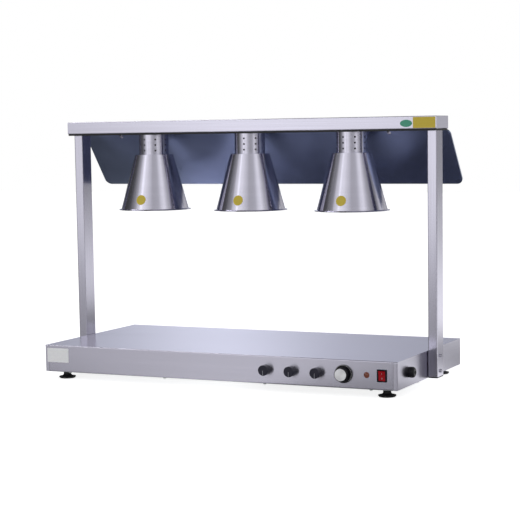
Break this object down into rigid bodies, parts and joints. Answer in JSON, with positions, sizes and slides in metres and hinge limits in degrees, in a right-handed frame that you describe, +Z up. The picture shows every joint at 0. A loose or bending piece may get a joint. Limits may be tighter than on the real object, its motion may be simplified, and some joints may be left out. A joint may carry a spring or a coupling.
{
  "type": "infrared food warming plate",
  "caption": "Countertop food warmer: heated stainless base on levelling feet, rail on posts with hanging heat lamps, slanted dark glass guard, front knobs and a power rocker.",
  "frame": {"origin": "On the table, under the middle of the whole outline from the back of the base to the front of the thermostat knob; the middle of the base lies 11 mm behind it.", "axes": "+X to the user's right along the base, +Y away from the user, +Z up. The controls face -Y."},
  "size_m": [1.07, 0.502, 0.682],
  "materials": {
    "brushed_stainless": "brushed",
    "spun_stainless": "spun and brushed",
    "galvanised_steel": "zinc plated",
    "element_sheath": "heat-oxidised",
    "insulation": "fibre blanket",
    "black_plastic": "satin",
    "black_rubber": "moulded",
    "white_ceramic": "glazed",
    "bulb_glass": "satin front, mirrored back",
    "cap_brass": "nickel plated",
    "dark_glass": "polished",
    "dimmer_plastic": "moulded",
    "thermostat_case": "moulded",
    "copper_capillary": "drawn",
    "silver_disc": "satin anodised",
    "amber_lens": "clear moulded",
    "red_plastic": "gloss",
    "cable_sleeve": "silicone"
  },
  "bodies": {
    "stand": {"top_cover": "brushed_stainless", "left_side_panel": "brushed_stainless", "right_side_panel": "brushed_stainless", "bottom_plate": "galvanised_steel", "top_stiffener": "galvanised_steel", "heating_elements": "element_sheath", "element_clamps": "galvanised_steel", "insulation_blankets": "insulation", "heat_shield": "galvanised_steel", "foot_nuts": "galvanised_steel", "left_post": "brushed_stainless", "right_post": "brushed_stainless", "post_end_plugs": "black_plastic", "post_bolts": "galvanised_steel", "post_backing_plates": "galvanised_steel", "top_rail": "brushed_stainless", "rail_bottom_plate": "brushed_stainless", "rail_end_caps": "brushed_stainless", "post_head_brackets": "galvanised_steel", "cover_screws": "galvanised_steel", "left_lamp_neck": "spun_stainless", "middle_lamp_neck": "spun_stainless", "right_lamp_neck": "spun_stainless", "left_lamp_shade": "spun_stainless", "middle_lamp_shade": "spun_stainless", "right_lamp_shade": "spun_stainless", "left_lampholder": "white_ceramic", "middle_lampholder": "white_ceramic", "right_lampholder": "white_ceramic", "left_bulb": "bulb_glass", "middle_bulb": "bulb_glass", "right_bulb": "bulb_glass", "bulb_caps": "cap_brass", "lamp_nipples": "galvanised_steel", "guard_glass": "dark_glass", "guard_brackets": "brushed_stainless", "guard_bolts": "brushed_stainless", "lamp_dimmers": "dimmer_plastic", "control_nuts": "galvanised_steel", "thermostat_body": "thermostat_case", "thermostat_probe": "copper_capillary", "pilot_lamp": "amber_lens", "switch_housing": "black_plastic", "cable_gland": "black_plastic", "terminal_block": "white_ceramic", "wiring_loom": "cable_sleeve"},
    "left_lamp_control": {"left_lamp_knob": "black_plastic", "left_lamp_shaft": "galvanised_steel"},
    "middle_lamp_control": {"middle_lamp_knob": "black_plastic", "middle_lamp_shaft": "galvanised_steel"},
    "right_lamp_control": {"right_lamp_knob": "black_plastic", "right_lamp_shaft": "galvanised_steel"},
    "thermostat_control": {"thermostat_knob": "black_plastic", "thermostat_disc": "silver_disc", "thermostat_shaft": "galvanised_steel"},
    "power_rocker": {"power_rocker": "red_plastic"},
    "front_left_foot": {"front_left_foot": "black_rubber"},
    "front_right_foot": {"front_right_foot": "black_rubber"},
    "back_left_foot": {"back_left_foot": "black_rubber"},
    "back_right_foot": {"back_right_foot": "black_rubber"}
  },
  "joints": [
    {"name": "left_lamp_dial", "type": "hinge", "parent": "stand", "child": "left_lamp_control", "pos_m": [0.15, -0.229, 0.057], "axis": [0, 1, 0], "range_deg": [0, 270]},
    {"name": "middle_lamp_dial", "type": "hinge", "parent": "stand", "child": "middle_lamp_control", "pos_m": [0.22, -0.229, 0.057], "axis": [0, 1, 0], "range_deg": [0, 270]},
    {"name": "right_lamp_dial", "type": "hinge", "parent": "stand", "child": "right_lamp_control", "pos_m": [0.29, -0.229, 0.057], "axis": [0, 1, 0], "range_deg": [0, 270]},
    {"name": "thermostat_dial", "type": "hinge", "parent": "stand", "child": "thermostat_control", "pos_m": [0.36, -0.229, 0.057], "axis": [0, 1, 0], "range_deg": [0, 270]},
    {"name": "power_switch", "type": "hinge", "parent": "stand", "child": "power_rocker", "pos_m": [0.46, -0.226, 0.057], "axis": [-1, 0, 0], "range_deg": [0, 16]},
    {"name": "front_left_foot_levelling", "type": "slide", "parent": "stand", "child": "front_left_foot", "axis": [0, 0, -1], "range_m": [0, 0.012]},
    {"name": "front_right_foot_levelling", "type": "slide", "parent": "stand", "child": "front_right_foot", "axis": [0, 0, -1], "range_m": [0, 0.012]},
    {"name": "back_left_foot_levelling", "type": "slide", "parent": "stand", "child": "back_left_foot", "axis": [0, 0, -1], "range_m": [0, 0.012]},
    {"name": "back_right_foot_levelling", "type": "slide", "parent": "stand", "child": "back_right_foot", "axis": [0, 0, -1], "range_m": [0, 0.012]}
  ]
}
